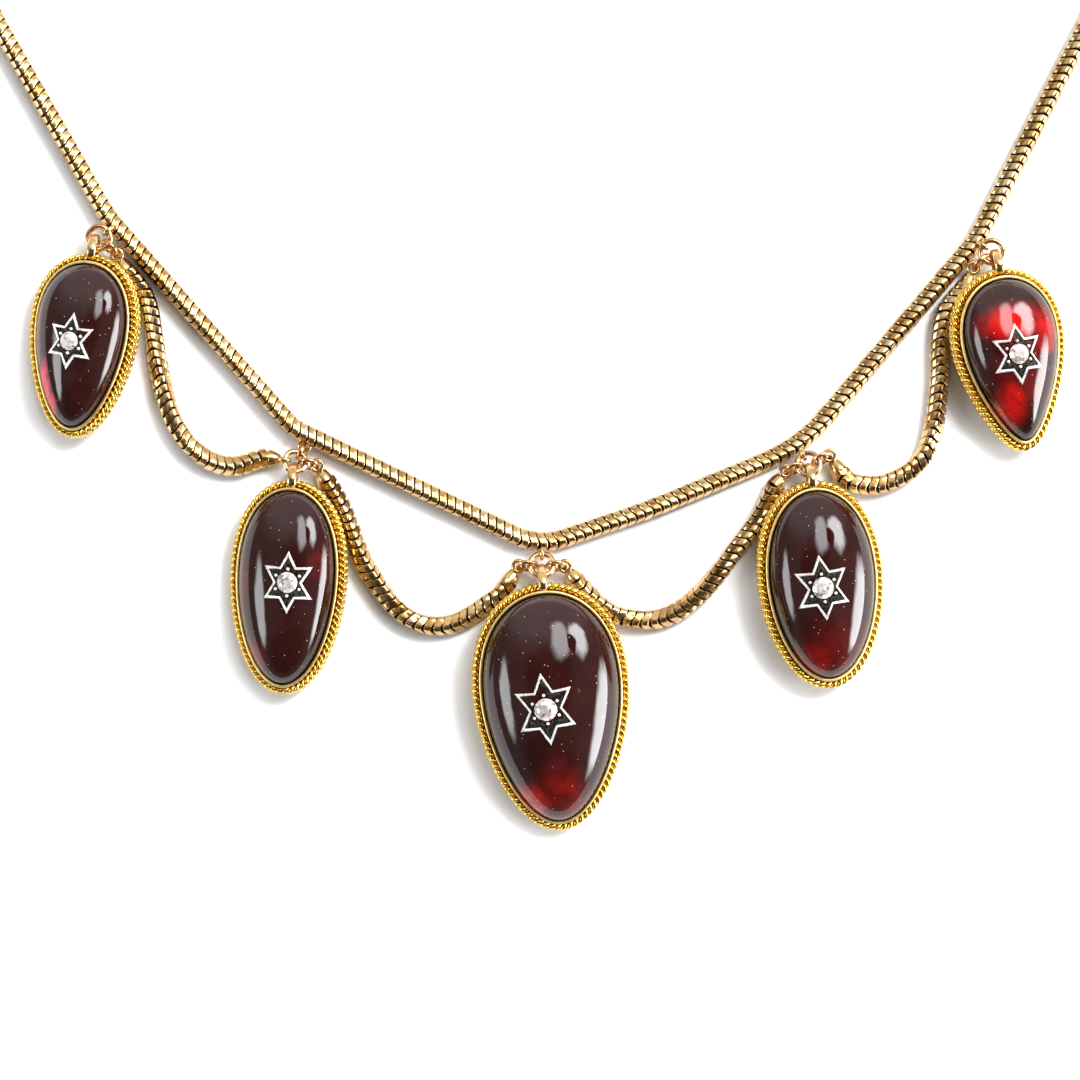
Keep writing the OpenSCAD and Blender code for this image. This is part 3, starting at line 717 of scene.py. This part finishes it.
def link_template(sizes):
    """One chain link round the X axis. Its rims wave forwards and back, and its ends and the faces down in
    its gaps are dark with tarnish and painted shade.
    """
    width = sizes.width / MM
    reach = sizes.pitch / MM / 2 + 0.02
    half = (sizes.pitch - sizes.gap) / MM / 2
    wave = sizes.wave / MM
    notch = sizes.notch / MM
    # Along the link, in from its surface, and how far it is notched at each ridge
    rings = [
        (-reach, 0.36, 0), (-half + 0.1, 0.36, 0), (-half, 0.06, notch), (-half + 0.07, 0, notch),
        (half - 0.07, 0, -notch), (half, 0.06, -notch), (half - 0.1, 0.36, 0), (reach, 0.36, 0),
    ]
    bm = bmesh.new()
    verts = None
    for number, (along, inset, notched) in enumerate(rings):
        places = []
        for j in range(LINK_SIDES):
            angle = 360 * j / LINK_SIDES
            r = square_radius(angle, width) - inset
            swing = math.sin(math.radians(2 * angle))
            x = along + wave * swing + notched * abs(swing) ** 5
            places.append(Vector((x, r * math.cos(math.radians(angle)), r * math.sin(math.radians(angle)))))
        # Faces down in the gaps and at the ends take the dark tarnish, which is partly painted shade.
        inside = 1 if number in (1, 2, 6, 7) else 0
        if verts is None:
            verts = first_loop(bm, places)
            closed(bm, verts, 1)
        else:
            verts = extruded(bm, verts, places, inside)
    closed(bm, verts, 1)
    bmesh.ops.recalc_face_normals(bm, faces=bm.faces)
    return as_mesh(bm, "link_template")


def string_links(bm, template, rail, first, pitch, count, rolls, seed):
    """Strings links along a rail, each a little unlike the others in tone and lie."""
    chance = random.Random(seed)
    tone = bm.faces.layers.float.get("tone") or bm.faces.layers.float.new("tone")
    for k in range(count):
        s = first + k * pitch
        place = rail.place(s)
        step, share = divmod(k * (len(rolls) - 1) / count, 1)
        before, after = rolls[int(step):int(step) + 2]
        roll = before + (after - before) * share + chance.uniform(-LINK_ROLL, LINK_ROLL)
        lie = turned(angle_of(rail.heading(s)) + chance.uniform(-LINK_TURN, LINK_TURN), "Z")
        matrix = moved(place.x, place.y, CHAIN_Z) @ lie @ turned(roll, "X")
        own_tone = chance.uniform(-0.15, 0.25)
        for face in stamp(bm, template, matrix):
            face[tone] = own_tone


class NECKLACE_OT_worn_chain(bpy.types.Operator):
    """Strings the chain that is worn round the neck, with its five soldered eyes."""
    bl_idname = "necklace.worn_chain"
    bl_label = "Worn chain"

    def execute(self, context):
        sizes = context.scene.necklace_chain
        rail = Rail(worn_points(24))
        count = round(rail.length / (sizes.pitch / MM))
        pitch = rail.length / count
        bm = bmesh.new()
        template = link_template(sizes)
        string_links(bm, template, rail, pitch / 2, pitch, count, WORN_ROLLS, 1)
        bpy.data.meshes.remove(template)
        for junction in junctions:
            out = -junction.side
            reach = HANGER_OUT if junction.is_hanger else WORN_EYE_OUT
            rise = 0 if junction.is_hanger else junction.rise
            middle = junction.foot + out * reach * math.cos(rise)
            stand = turned(0 if junction.is_hanger else 90, "X")
            wire_ring(bm, EYE_R, LINK_WIRE, moved(*middle, CHAIN_Z + reach * math.sin(rise))
                      @ turned(angle_of(out), "Z") @ stand)
        finish_piece("worn_chain", bm, [champagne_gold(), tarnish_and_painted_gap_shade()], ["main_chain"])
        return {"FINISHED"}


class NECKLACE_OT_swags(bpy.types.Operator):
    """Strings the four swags between the drops."""
    bl_idname = "necklace.swags"
    bl_label = "Swags"

    def execute(self, context):
        sizes = context.scene.necklace_chain
        pitch = sizes.pitch / MM
        template = link_template(sizes)
        for swag, rolls in enumerate(SWAG_ROLLS):
            rail = swag_rail(swag)
            run = rail.length - 2 * CAP_L
            count = round(run / pitch)
            bm = bmesh.new()
            string_links(bm, template, rail, CAP_L + run / count / 2, run / count, count, rolls, 20 + swag)
            finish_piece(f"swag_chain_{swag + 1}", bm, [champagne_gold(), tarnish_and_painted_gap_shade()],
                         [f"swag_{swag + 1}"])
        bpy.data.meshes.remove(template)
        return {"FINISHED"}


CAP_PROFILE = [
    (0, 0), (0, 0.4), (0.05, 0.5), (0.3, 0.67), (0.65, 0.84), (1.0, 0.96), (1.3, 1.03),
    (1.54, 1.06), (1.58, 1.0), (1.54, 0.6), (1.54, 0),
]


class NECKLACE_OT_caps(bpy.types.Operator):
    """Makes the caps that close the chains' ends, with their eyes."""
    bl_idname = "necklace.caps"
    bl_label = "Chain caps"

    def execute(self, context):
        for swag in range(len(SWAG_ROUTES)):
            rail = swag_rail(swag)
            for right_end in (False, True):
                junction = junctions[swag + 1 if right_end else swag]
                face = swag_end(swag, right_end)
                inward = -rail.heading(rail.length - 0.5) if right_end else rail.heading(0.5)
                bm = bmesh.new()
                lathe(bm, CAP_PROFILE, moved(*face, CHAIN_Z) @ turned(angle_of(inward), "Z"))
                if junction.is_hanger and right_end:
                    hold = junction.ring_point(junction.leave_angle(False))
                    eye = moved(*face, hold.z) @ turned(angle_of(inward) + 180, "Z")
                    eye = eye @ moved(DIRECT_EYE_OUT, 0, 0) @ turned(90, "X")
                else:
                    eye = moved(*junction.eye_middle(not right_end), EYE_Z)
                wire_ring(bm, EYE_R, LINK_WIRE, eye)
                end = "b" if right_end else "a"
                finish_piece(f"cap_{swag + 1}{end}", bm, [champagne_gold()],
                             [f"swag_cap_{swag + 1}{end}"])
        for side, name in SIDES:
            x = side * (CLASP_L / 2 + 2 * EYE_TIP + TIPS_APART)
            outward = moved(x, CLASP_Y, 0) @ turned(0 if side > 0 else 180, "Z")
            bm = bmesh.new()
            lathe(bm, CAP_PROFILE, outward @ moved(0, 0, CHAIN_Z))
            wire_ring(bm, EYE_R, LINK_WIRE, outward @ moved(EYE_R - EYE_TIP, 0, EYE_Z))
            finish_piece(f"end_cap_{name}", bm, [champagne_gold()], [f"chain_cap_{name}"])
        return {"FINISHED"}


class NECKLACE_OT_rings(bpy.types.Operator):
    """Makes the jump rings and the small links."""
    bl_idname = "necklace.rings"
    bl_label = "Rings and links"

    def ring_piece(self, name, radius, wire, matrix, node):
        bm = bmesh.new()
        wire_ring(bm, radius, wire, matrix, 56, 18)
        finish_piece(name, bm, [rosy_gold()], [node])

    def end_link(self, k, right):
        junction = junctions[k]
        angle = junction.leave_angle(right)
        hold = junction.ring_point(angle)
        tip = Vector((*(hold.xy + EYE_FROM_RING * toward(angle)), EYE_Z))
        middle = tip + LINK_SHARE * (hold - tip)
        lean = junction.spec.right_lean if right else junction.spec.left_lean
        return moved(*middle) @ turned(angle, "Z") @ turned(90 + lean, "X")

    def execute(self, context):
        for k, junction in enumerate(junctions):
            matrix = moved(*junction.middle, junction.z) @ turned(angle_of(junction.side) - 90, "Z")
            matrix = matrix @ Matrix.Rotation(junction.tilt, 4, "X")
            self.ring_piece(f"ring_{k + 1}", junction.spec.radius, RING_WIRE, matrix, f"jump_ring_{k + 1}")
            for end, right in ((f"{k + 1}a", True), (f"{k}b", False)):
                if end in SWAG_LINKS:
                    link = self.end_link(k, right)
                    self.ring_piece(f"end_link_{end}", LINK_R, LINK_WIRE, link, f"swag_link_{end}")
        hanger = junctions[HANGER]
        tip = Vector((*(hanger.foot - hanger.side * (HANGER_OUT + EYE_R)), CHAIN_Z))
        middle = tip + HANGER_SHARE * (hanger.ring_point(angle_of(hanger.side)) - tip)
        matrix = moved(*middle) @ turned(angle_of(hanger.side), "Z") @ turned(90, "X")
        self.ring_piece("hanging_link", HANGER_R, LINK_WIRE, matrix, "hanger_link")
        for side, name in SIDES:
            x = side * (CLASP_L / 2 + EYE_TIP + TIPS_APART / 2)
            matrix = moved(x, CLASP_Y, CLASP_LINK_Z) @ turned(90, "X")
            self.ring_piece(f"end_link_{name}", LINK_R, LINK_WIRE, matrix, f"clasp_link_{name}")
        return {"FINISHED"}


def bail(bm, drop, high):
    """The loop of flattened wire on a drop's top."""
    foot_z = lift(drop) + tilted_z(drop, Vector((0, drop.half_l + 0.35))) + DOME_FOOT
    rise = foot_z - high + BAIL_DROP
    long = math.hypot(BAIL_RUN, rise) / 2
    slope = math.degrees(math.atan2(rise, BAIL_RUN))
    matrix = moved(drop.bail_x, drop.bail_y, high - BAIL_DROP) @ turned(drop.turn, "Z")
    matrix = matrix @ turned(-slope, "X") @ moved(0, -long, 0)
    before = set(bm.verts)
    stations = 28
    sides = 12
    loops = []
    for i in range(stations):
        t = FULL_TURN * i / stations
        out = Vector((BAIL_HALF * math.cos(t), long * math.sin(t))).normalized()
        section = bmesh.ops.create_circle(bm, segments=sides, radius=1)["verts"]
        for j, vert in enumerate(section):
            a = FULL_TURN * j / sides
            deep = BAIL_THICK / 2 * math.sin(a)
            # A shallow groove runs along the flat of the wire.
            deep *= 1 - BAIL_GROOVE * abs(math.sin(a)) ** 3
            vert.co = (BAIL_WIDTH / 2 * math.cos(a), long * math.cos(t) + deep * out.x,
                       BAIL_HALF * math.sin(t) + deep * out.y)
        loops.append(list({e for v in section for e in v.link_edges}))
    for a, b in zip(loops, loops[1:] + loops[:1]):
        bmesh.ops.bridge_loops(bm, edges=a + b)
    settle(bm, before, matrix, 1)


class NECKLACE_OT_settings(bpy.types.Operator):
    """Makes each drop's back plate, collar and bail."""
    bl_idname = "necklace.settings"
    bl_label = "Settings"

    def execute(self, context):
        for k, drop in enumerate(DROPS):
            outline = egg_outline(drop)
            bm = bmesh.new()
            verts = first_loop(bm, at_z(grown(outline, WALL[0][0]), WALL[0][1]))
            closed(bm, verts)
            for out, height in WALL[1:]:
                # The collar's top edge takes the paler gold: a rubbed finish with a painted highlight.
                edge = 2 if 0 < out < 0.38 else 0
                verts = extruded(bm, verts, at_z(grown(outline, out), height), edge)
            closed(bm, verts)
            stood(bm, drop_frame(drop))
            bail(bm, drop, JUNCTIONS[k].high)
            golds = [yellow_gold(), champagne_gold(), rubbed_gold_painted_highlight()]
            finish_piece(f"collar_{k + 1}", bm, golds, [f"setting_{k + 1}"], 50)
        return {"FINISHED"}


class NECKLACE_OT_ropes(bpy.types.Operator):
    """Twists the two rows of rope border round each collar."""
    bl_idname = "necklace.ropes"
    bl_label = "Rope borders"

    def strand(self, drop, rail, height, radius, turns, phase, steps=12):
        """One strand of a rope, as a curve round the drop that is made a mesh."""
        curve = bpy.data.curves.new("strand", "CURVE")
        curve.dimensions = "3D"
        curve.bevel_depth = radius * MM
        curve.bevel_resolution = 2
        spline = curve.splines.new("POLY")
        count = turns * steps
        spline.points.add(count - 1)
        spline.use_cyclic_u = True
        place_in_drop = drop_frame(drop)
        for i, point in enumerate(spline.points):
            s = rail.length * i / count
            out = -left_of(rail.heading(s))
            angle = FULL_TURN * i / steps + phase
            middle = rail.place(s) + STRAND_OUT * math.cos(angle) * out
            place = place_in_drop @ Vector((middle.x, middle.y, height + STRAND_OUT * math.sin(angle)))
            point.co = (*(place * MM), 1)
        helper = bpy.data.objects.new("strand", curve)
        mesh = bpy.data.meshes.new_from_object(helper)
        bpy.data.objects.remove(helper)
        bpy.data.curves.remove(curve)
        return mesh

    def execute(self, context):
        sizes = context.scene.necklace_settings
        radius = sizes.strand / MM / 2
        for k, drop in enumerate(DROPS):
            outline = grown(egg_outline(drop), ROPE_OUT)
            rail = Rail(outline + outline[:1])
            turns = round(rail.length / (sizes.twist / MM))
            for row, height in zip(("upper", "lower"), ROPE_HEIGHTS):
                bm = bmesh.new()
                for phase in (0, math.pi):
                    mesh = self.strand(drop, rail, height, radius, turns, phase)
                    bm.from_mesh(mesh)
                    bpy.data.meshes.remove(mesh)
                bmesh.ops.scale(bm, vec=(1 / MM, 1 / MM, 1 / MM), verts=bm.verts)
                settle(bm, set(), Matrix())
                finish_piece(f"{row}_rope_{k + 1}", bm, [yellow_gold()], [], 70)
        return {"FINISHED"}


class NECKLACE_OT_garnets(bpy.types.Operator):
    """Makes the five garnets, smooth domes that stand out of their collars."""
    bl_idname = "necklace.garnets"
    bl_label = "Garnets"

    def execute(self, context):
        colours = context.scene.necklace_stones
        for k, drop in enumerate(DROPS):
            edge = grown(egg_outline(drop), -STONE_GAP)
            bm = bmesh.new()
            verts = first_loop(bm, at_z(edge, PLATE_T + STONE_GAP))
            closed(bm, verts)
            for ring in range(DOME_RINGS):
                angle = math.radians(90 * ring / DOME_RINGS)
                height = DOME_FOOT + drop.dome * math.sin(angle)
                verts = extruded(bm, verts, at_z([point * math.cos(angle) for point in edge], height))
            bmesh.ops.pointmerge(bm, verts=extruded(bm, verts, at_z(edge, 0)),
                                 merge_co=(0, 0, DOME_FOOT + drop.dome))
            settle(bm, set(), drop_frame(drop))
            stone = garnet(k, colours.dark, colours.red if k else colours.crimson)
            finish_piece(f"cabochon_{k + 1}", bm, [stone], [f"garnet_{k + 1}"], 60)
        return {"FINISHED"}


def star_outline(drop, shrink):
    """The star's outline with its sides halved, moved in from its rim by a width."""
    half = [(0, 1)] + STAR_SIDE + [(180, 1)]
    shape = half + [(-angle, share) for angle, share in reversed(STAR_SIDE)]
    corners = []
    for k, (angle, share) in enumerate(shape):
        r = drop.star_r * share - shrink * (NOTCH_MITRE if k % 2 else TIP_MITRE)
        corners.append(Vector((drop.star_x, drop.star_y)) + r * toward(90 + angle + drop.star_turn))
    outline = []
    for a, b in zip(corners, corners[1:] + corners[:1]):
        outline += [a, a.lerp(b, 1 / 3), a.lerp(b, 2 / 3)]
    return outline


class NECKLACE_OT_stars(bpy.types.Operator):
    """Makes the silver stars let into the garnets."""
    bl_idname = "necklace.stars"
    bl_label = "Stars"

    def execute(self, context):
        rim = context.scene.necklace_settings.rim / MM
        # In from the star's edge, height over the garnet, and whether it is blackened
        levels = [
            (0, -0.5, 0), (0, 0.1, 0), (0.05, 0.2, 0), (rim - 0.06, 0.2, 0), (rim, 0.13, 0),
            (rim + 0.02, 0.01, 1), (rim + 0.24, 0.01, 1), (rim + 0.27, 0.07, 1), (rim + 0.31, 0.07, 1),
            (rim + 0.34, 0.01, 1),
        ]
        for k, drop in enumerate(DROPS):
            bm = bmesh.new()
            verts = None
            for shrink, height, dark in levels:
                places = [Vector((q.x, q.y, dome_z(drop, q.x, q.y) + height))
                          for q in star_outline(drop, shrink)]
                verts = extruded(bm, verts, places, dark) if verts else first_loop(bm, places)
            middle = (drop.star_x, drop.star_y, dome_z(drop, drop.star_x, drop.star_y) + 0.01)
            bmesh.ops.pointmerge(bm, verts=extruded(bm, verts, places, 1), merge_co=middle)
            grains_out = drop.diamond_r + GRAIN_OUT
            for i in range(6):
                spot = Vector((drop.star_x, drop.star_y)) + grains_out * toward(90 + 60 * i + drop.star_turn)
                seat = moved(*spot, dome_z(drop, *spot) + 0.08)
                bmesh.ops.create_icosphere(bm, subdivisions=2, radius=GRAIN_R, matrix=seat)
            stood(bm, drop_frame(drop))
            finish_piece(f"star_inlay_{k + 1}", bm, [bright_silver(), oxidised_silver()],
                         [f"star_{k + 1}"], 50)
        return {"FINISHED"}


class NECKLACE_OT_diamonds(bpy.types.Operator):
    """Cuts the five diamonds: a table, star, main and girdle facets over a pavilion."""
    bl_idname = "necklace.diamonds"
    bl_label = "Diamonds"

    def execute(self, context):
        # Sides, share of the radius, height as a share of the radius, and turn in degrees
        tiers = [(8, 0.5, 0.42, 0), (8, 0.78, 0.28, 22.5), (16, 1, 0.04, 11.25), (16, 1, -0.04, 11.25),
                 (8, 0.12, -0.6, 0)]
        for k, drop in enumerate(DROPS):
            bm = bmesh.new()
            for sides, share, height, turn in tiers:
                matrix = moved(0, 0, height * drop.diamond_r) @ turned(turn, "Z")
                bmesh.ops.create_circle(bm, segments=sides, radius=share * drop.diamond_r, matrix=matrix)
            bmesh.ops.convex_hull(bm, input=bm.verts)
            bmesh.ops.dissolve_limit(bm, angle_limit=math.radians(1), verts=bm.verts, edges=bm.edges)
            seat = moved(drop.star_x, drop.star_y, dome_z(drop, drop.star_x, drop.star_y) + 0.12)
            stood(bm, drop_frame(drop) @ seat)
            finish_piece(f"brilliant_{k + 1}", bm, [old_cut_diamond()], [f"diamond_{k + 1}"], 1)
        return {"FINISHED"}


class NECKLACE_OT_clasp(bpy.types.Operator):
    """Makes the plain clasp behind the neck."""
    bl_idname = "necklace.clasp"
    bl_label = "Clasp"

    def execute(self, context):
        bm = bmesh.new()
        box = moved(0, CLASP_Y, CLASP_T / 2) @ Matrix.Diagonal((CLASP_L, CLASP_W, CLASP_T, 1))
        bmesh.ops.create_cube(bm, size=1, matrix=box)
        upright = [e for e in bm.edges if abs(e.verts[0].co.z - e.verts[1].co.z) > 1]
        bmesh.ops.bevel(bm, geom=upright, offset=0.9, affect="EDGES", segments=1, profile=0.5, material=-1)
        bmesh.ops.bevel(bm, geom=bm.edges[:], offset=0.35, affect="EDGES", segments=3, profile=0.5,
                        material=-1)
        for side, _ in SIDES:
            reach = CLASP_L / 2 + EYE_TIP - EYE_R
            wire_ring(bm, EYE_R, LINK_WIRE, moved(side * reach, CLASP_Y, EYE_Z))
        finish_piece("clasp_box", bm, [champagne_gold()], ["clasp"], 30)
        return {"FINISHED"}


# The camera's and the key light's places on the stage, in metres
CAMERA_Y = -0.055
KEY_PLACE = Vector((0.36, 0.34, 0.62))
KEY_TARGET = Vector((0, -0.04, 0))

# The room that the metal and stones reflect: its evenness and darkest tone, how far folds
# bend its edges, and its parts as direction, reach each way and brightness. The parts are
# the north wall, both panes of the window, the bright gap at the right and the curtain at
# the left; then the camera, the dark side of the room and the window's bar.
SKY_BASE = 0.31
SKY_DARKEST = 0.04
SKY_EVEN = 0.55
SKY_FOLDS = 0.07
SKY_PATCHES = [
    ((0, 1.0, 0.5), (1.3, 0.95, 1.0), 0.8),
    ((0.22, 0.46, 0.86), (0.2, 0.32, 0.35), 8),
    ((0.58, 0.46, 0.66), (0.24, 0.3, 0.32), 16),
    ((0.95, -0.26, 0.16), (0.28, 0.5, 0.36), 18),
    ((-0.85, -0.2, 0.45), (0.15, 0.45, 0.26), 9),
    ((0, 0, 1), (0.55, 0.45, 0.5), -0.26),
    ((0, -0.75, 0.7), (1, 0.55, 0.7), -0.24),
    ((0.43, 0.4, 0.78), (0.1, 0.13, 0.3), -22),
]


class NECKLACE_OT_stage(bpy.types.Operator):
    """Lays the white table, hangs the key light in a soft room and sets up the camera."""
    bl_idname = "necklace.stage"
    bl_label = "Table, lights and camera"

    def execute(self, context):
        stage = context.scene.necklace_stage
        scene = context.scene
        bm = bmesh.new()
        bmesh.ops.create_grid(bm, x_segments=1, y_segments=1, size=1.5)
        table = add_object("table", as_mesh(bm, "table"))
        table.data.materials.append(white_paper())

        lens = bpy.data.cameras.new("camera")
        lens.lens = 100
        lens.sensor_width = 36
        camera = add_object("camera", lens)
        camera.location = (0, CAMERA_Y, stage.camera_height)
        scene.camera = camera

        light = bpy.data.lights.new("key", "AREA")
        light.shape = "DISK"
        light.size = 0.22
        light.energy = stage.key
        lamp = add_object("key", light)
        lamp.location = KEY_PLACE
        lamp.rotation_euler = (lamp.location - KEY_TARGET).to_track_quat("Z", "Y").to_euler()
        # The window's patch in the sky stands for it in the reflections.
        lamp.visible_glossy = False

        world = bpy.data.worlds.new("studio")
        world.use_nodes = True
        world.node_tree.nodes.clear()
        direction = add_node(world, "ShaderNodeTexCoord").outputs["Generated"]
        folds = add_node(world, "ShaderNodeTexNoise", {"Vector": direction, "Scale": 5}).outputs["Color"]
        folds = add_node(world, "ShaderNodeMapping", {
            "Vector": folds, "Location": [-SKY_FOLDS] * 3, "Scale": [2 * SKY_FOLDS] * 3}).outputs[0]
        direction = add_node(world, "ShaderNodeVectorMath", {0: direction, 1: folds},
                             operation="ADD").outputs[0]
        patches = soft_spots(world, direction, SKY_PATCHES, SKY_EVEN, "ADD")
        strength = calculated(world, "ADD", patches, SKY_BASE)
        strength = calculated(world, "MAXIMUM", strength, SKY_DARKEST)
        sky = add_node(world, "ShaderNodeBackground", {"Color": linear("#f1f2f4"), "Strength": strength})
        add_node(world, "ShaderNodeOutputWorld", {"Surface": sky.outputs[0]})
        scene.world = world
        scene.view_settings.view_transform = "Standard"
        return {"FINISHED"}


STEPS = [
    NECKLACE_OT_stage, NECKLACE_OT_worn_chain, NECKLACE_OT_swags, NECKLACE_OT_caps,
    NECKLACE_OT_rings, NECKLACE_OT_settings, NECKLACE_OT_ropes, NECKLACE_OT_garnets,
    NECKLACE_OT_stars, NECKLACE_OT_diamonds, NECKLACE_OT_clasp,
]


class NECKLACE_PT_panel(bpy.types.Panel):
    """Lists the necklace's sizes and the steps that make it."""
    bl_idname = "NECKLACE_PT_panel"
    bl_label = "Necklace"
    bl_space_type = "VIEW_3D"
    bl_region_type = "UI"
    bl_category = "Necklace"

    def draw(self, context):
        for group in GROUPS:
            settings = getattr(context.scene, group)
            for key in settings.bl_rna.properties.keys():
                if key not in ("rna_type", "name"):
                    self.layout.prop(settings, key)
        for step in STEPS:
            self.layout.operator(step.bl_idname)


GROUPS = {
    "necklace_chain": NecklaceChain,
    "necklace_settings": NecklaceSettings,
    "necklace_stones": NecklaceStones,
    "necklace_stage": NecklaceStage,
}


def register():
    for name, group in GROUPS.items():
        bpy.utils.register_class(group)
        setattr(bpy.types.Scene, name, bpy.props.PointerProperty(type=group))
    for step in STEPS:
        bpy.utils.register_class(step)
    bpy.utils.register_class(NECKLACE_PT_panel)


def unregister():
    bpy.utils.unregister_class(NECKLACE_PT_panel)
    for step in reversed(STEPS):
        bpy.utils.unregister_class(step)
    for name, group in GROUPS.items():
        delattr(bpy.types.Scene, name)
        bpy.utils.unregister_class(group)


def main():
    register()
    bpy.ops.necklace.stage()
    bpy.ops.necklace.worn_chain()
    bpy.ops.necklace.swags()
    bpy.ops.necklace.caps()
    bpy.ops.necklace.rings()
    bpy.ops.necklace.settings()
    bpy.ops.necklace.ropes()
    bpy.ops.necklace.garnets()
    bpy.ops.necklace.stars()
    bpy.ops.necklace.diamonds()
    bpy.ops.necklace.clasp()


if __name__ == "__main__":
    main()
